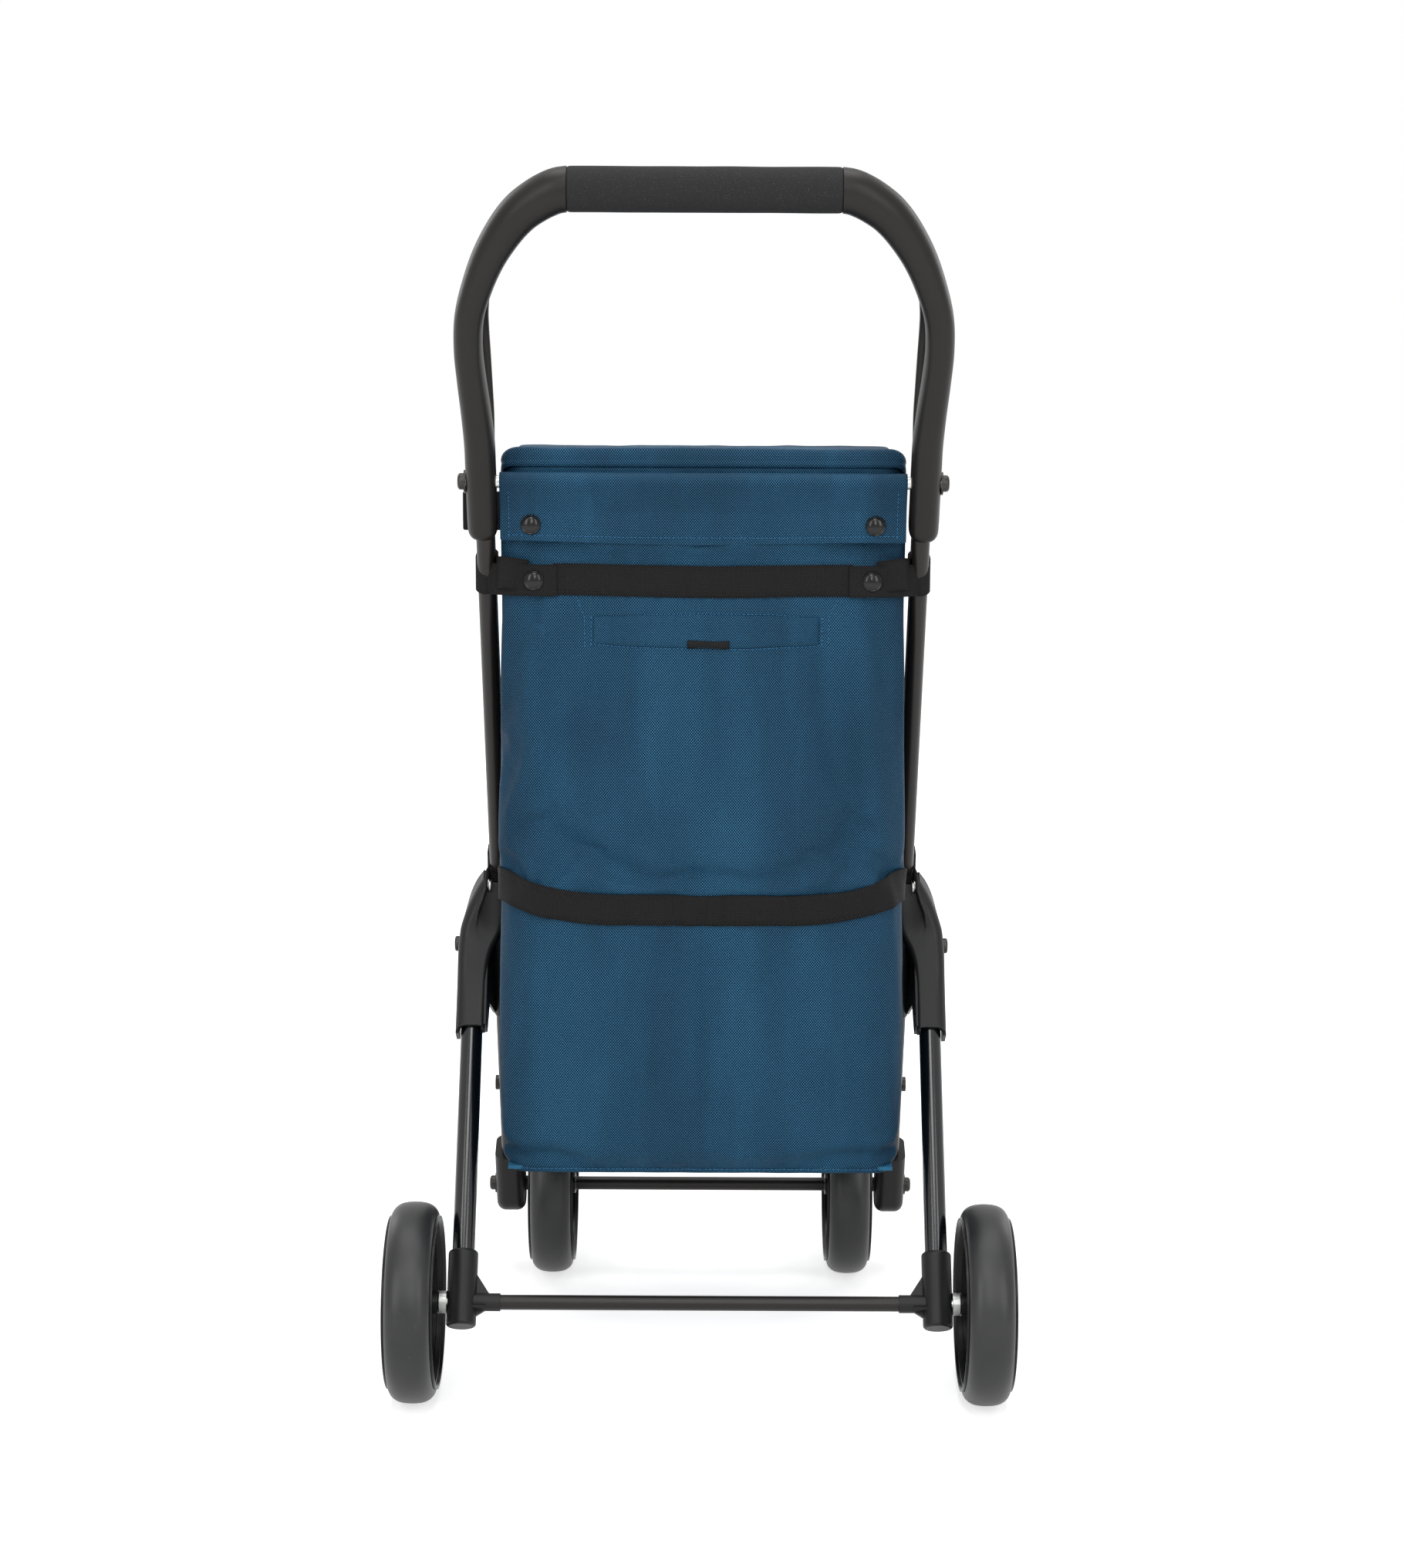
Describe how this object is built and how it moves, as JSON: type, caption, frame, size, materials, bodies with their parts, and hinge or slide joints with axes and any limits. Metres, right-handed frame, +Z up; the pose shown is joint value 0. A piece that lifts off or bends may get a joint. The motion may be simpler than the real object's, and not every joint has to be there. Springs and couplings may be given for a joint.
{
  "type": "shopping trolley on wheels",
  "caption": "Folding shopping trolley: arched handle on two leaning tubes, hinged rear legs, spoked wheels, and a lidded cloth bag hung from a cross rod.",
  "frame": {"origin": "on the floor, midway between the front and rear axles and on the plane of symmetry", "axes": "+Z up, +Y forward, away from the user, +X to the right of a user who walks behind it"},
  "size_m": [0.504, 0.4918, 0.9751],
  "materials": {
    "tyre": "matt, softly rounded tread",
    "wheel_plastic": "satin black moulding",
    "bush": "plain bearing plastic",
    "painted_tube": "satin black powder coat",
    "bracket_plastic": "fine moulded grain",
    "arm_plastic": "soft-touch, very fine grain",
    "grip_foam": "closed-cell foam, fine speckle",
    "zinc_steel": "zinc plated",
    "black_fastener": "black oxide",
    "snap_metal": "gloss black press stud",
    "webbing": "ribbed polyester webbing",
    "tag_cloth": "woven, blank",
    "board": "stiff plastic sheet",
    "bag_cloth": "coarse basket-weave nylon, petrol blue with lighter flecks"
  },
  "bodies": {
    "frame": {"bag_back_panel": "bag_cloth", "bag_base_board": "board", "bag_bottom_panel": "bag_cloth", "bag_front_panel": "bag_cloth", "bag_rest_bar": "painted_tube", "bag_side_panel_left": "bag_cloth", "bag_side_panel_right": "bag_cloth", "flap_snap_studs": "snap_metal", "foam_grip": "grip_foam", "front_axle": "zinc_steel", "front_axle_nuts": "black_fastener", "front_bracket_left": "bracket_plastic", "front_bracket_right": "bracket_plastic", "front_cross_tube": "painted_tube", "front_spacers": "bracket_plastic", "handle_arm_left": "arm_plastic", "handle_arm_right": "arm_plastic", "handle_core_tube": "zinc_steel", "knee_bracket_left": "bracket_plastic", "knee_bracket_right": "bracket_plastic", "knee_pivot_bolts": "black_fastener", "lower_strap": "webbing", "main_tube_left": "painted_tube", "main_tube_right": "painted_tube", "rest_bar_screws": "black_fastener", "rod_loop": "bag_cloth", "side_tag": "tag_cloth", "slot_pocket": "bag_cloth", "strap_snap_caps": "snap_metal", "strap_tab_left": "webbing", "strap_tab_right": "webbing", "upper_cross_rod": "zinc_steel", "upper_rod_nuts": "black_fastener", "upper_strap": "webbing"},
    "rear_legs": {"rear_axle": "zinc_steel", "rear_cross_tube": "painted_tube", "rear_leg_left": "painted_tube", "rear_leg_right": "painted_tube", "rear_socket_left": "bracket_plastic", "rear_socket_right": "bracket_plastic", "rear_washers": "zinc_steel"},
    "bag_lid": {"bag_lid": "bag_cloth", "bag_lid_front_flap": "bag_cloth"},
    "rod_flap": {"flap_snap_caps": "snap_metal", "rod_flap": "bag_cloth"},
    "front_left_wheel": {"front_left_bushes": "bush", "front_left_rim": "wheel_plastic", "front_left_tyre": "tyre"},
    "front_right_wheel": {"front_right_bushes": "bush", "front_right_rim": "wheel_plastic", "front_right_tyre": "tyre"},
    "rear_left_wheel": {"rear_left_bushes": "bush", "rear_left_hub_cap": "wheel_plastic", "rear_left_rim": "wheel_plastic", "rear_left_tyre": "tyre"},
    "rear_right_wheel": {"rear_right_bushes": "bush", "rear_right_hub_cap": "wheel_plastic", "rear_right_rim": "wheel_plastic", "rear_right_tyre": "tyre"}
  },
  "joints": [
    {"name": "rear_leg_fold", "type": "hinge", "parent": "frame", "child": "rear_legs", "pos_m": [0, 0.00455, 0.33713], "axis": [1, 0, 0], "range_deg": [0, 44]},
    {"name": "lid_hinge", "type": "hinge", "parent": "frame", "child": "bag_lid", "pos_m": [0, -0.12, 0.7463], "axis": [1, 0, 0], "range_deg": [0, 105]},
    {"name": "flap_hinge", "type": "hinge", "parent": "frame", "child": "rod_flap", "pos_m": [0, -0.13526, 0.7331], "axis": [1, 0, 0], "range_deg": [-100, 0]},
    {"name": "front_left_spin", "type": "hinge", "parent": "frame", "child": "front_left_wheel", "pos_m": [-0.133, 0.165, 0.08], "axis": [1, 0, 0], "continuous": true},
    {"name": "front_right_spin", "type": "hinge", "parent": "frame", "child": "front_right_wheel", "pos_m": [0.133, 0.165, 0.08], "axis": [1, 0, 0], "continuous": true},
    {"name": "rear_left_spin", "type": "hinge", "parent": "rear_legs", "child": "rear_left_wheel", "pos_m": [-0.229, -0.165, 0.08], "axis": [1, 0, 0], "continuous": true},
    {"name": "rear_right_spin", "type": "hinge", "parent": "rear_legs", "child": "rear_right_wheel", "pos_m": [0.229, -0.165, 0.08], "axis": [1, 0, 0], "continuous": true}
  ]
}
